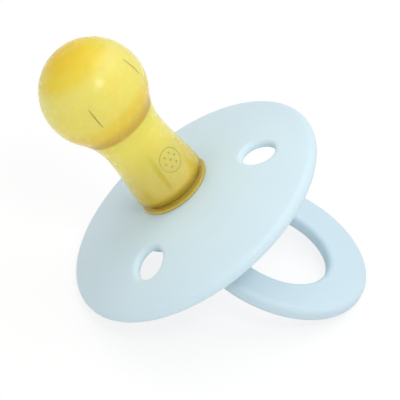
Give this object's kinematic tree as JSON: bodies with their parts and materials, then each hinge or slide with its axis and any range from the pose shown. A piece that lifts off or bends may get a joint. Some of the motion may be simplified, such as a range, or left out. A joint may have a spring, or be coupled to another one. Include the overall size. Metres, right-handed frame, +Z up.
{
  "type": "pacifier",
  "caption": "Round baby pacifier: a hollow latex teat through a domed, vented shield, clamped by an inner plug and a knob, with a ring handle that swings on the knob.",
  "frame": {"origin": "middle of the footprint's box, on the surface that the pacifier lies on", "axes": "+Z up from the surface; +X towards the ring handle's tip, so the nipple leans up towards -X; +Y along the ring's hinge"},
  "size_m": [0.0498, 0.043, 0.0426],
  "materials": {
    "latex": "translucent amber natural rubber latex, satin gloss",
    "inner_plastic": "moulded polypropylene, satin",
    "shield_plastic": "moulded polypropylene, satin",
    "knob_plastic": "moulded polypropylene, satin",
    "ring_plastic": "moulded polypropylene, satin"
  },
  "bodies": {
    "pacifier_body": {"nipple": "latex", "plug": "inner_plastic", "shield": "shield_plastic", "knob": "knob_plastic"},
    "ring": {"ring_handle": "ring_plastic"}
  },
  "joints": [
    {"name": "ring_hinge", "type": "hinge", "parent": "pacifier_body", "child": "ring", "pos_m": [0.001, 0, 0.00966], "axis": [0, 1, 0], "range_deg": [-59, 127]}
  ]
}
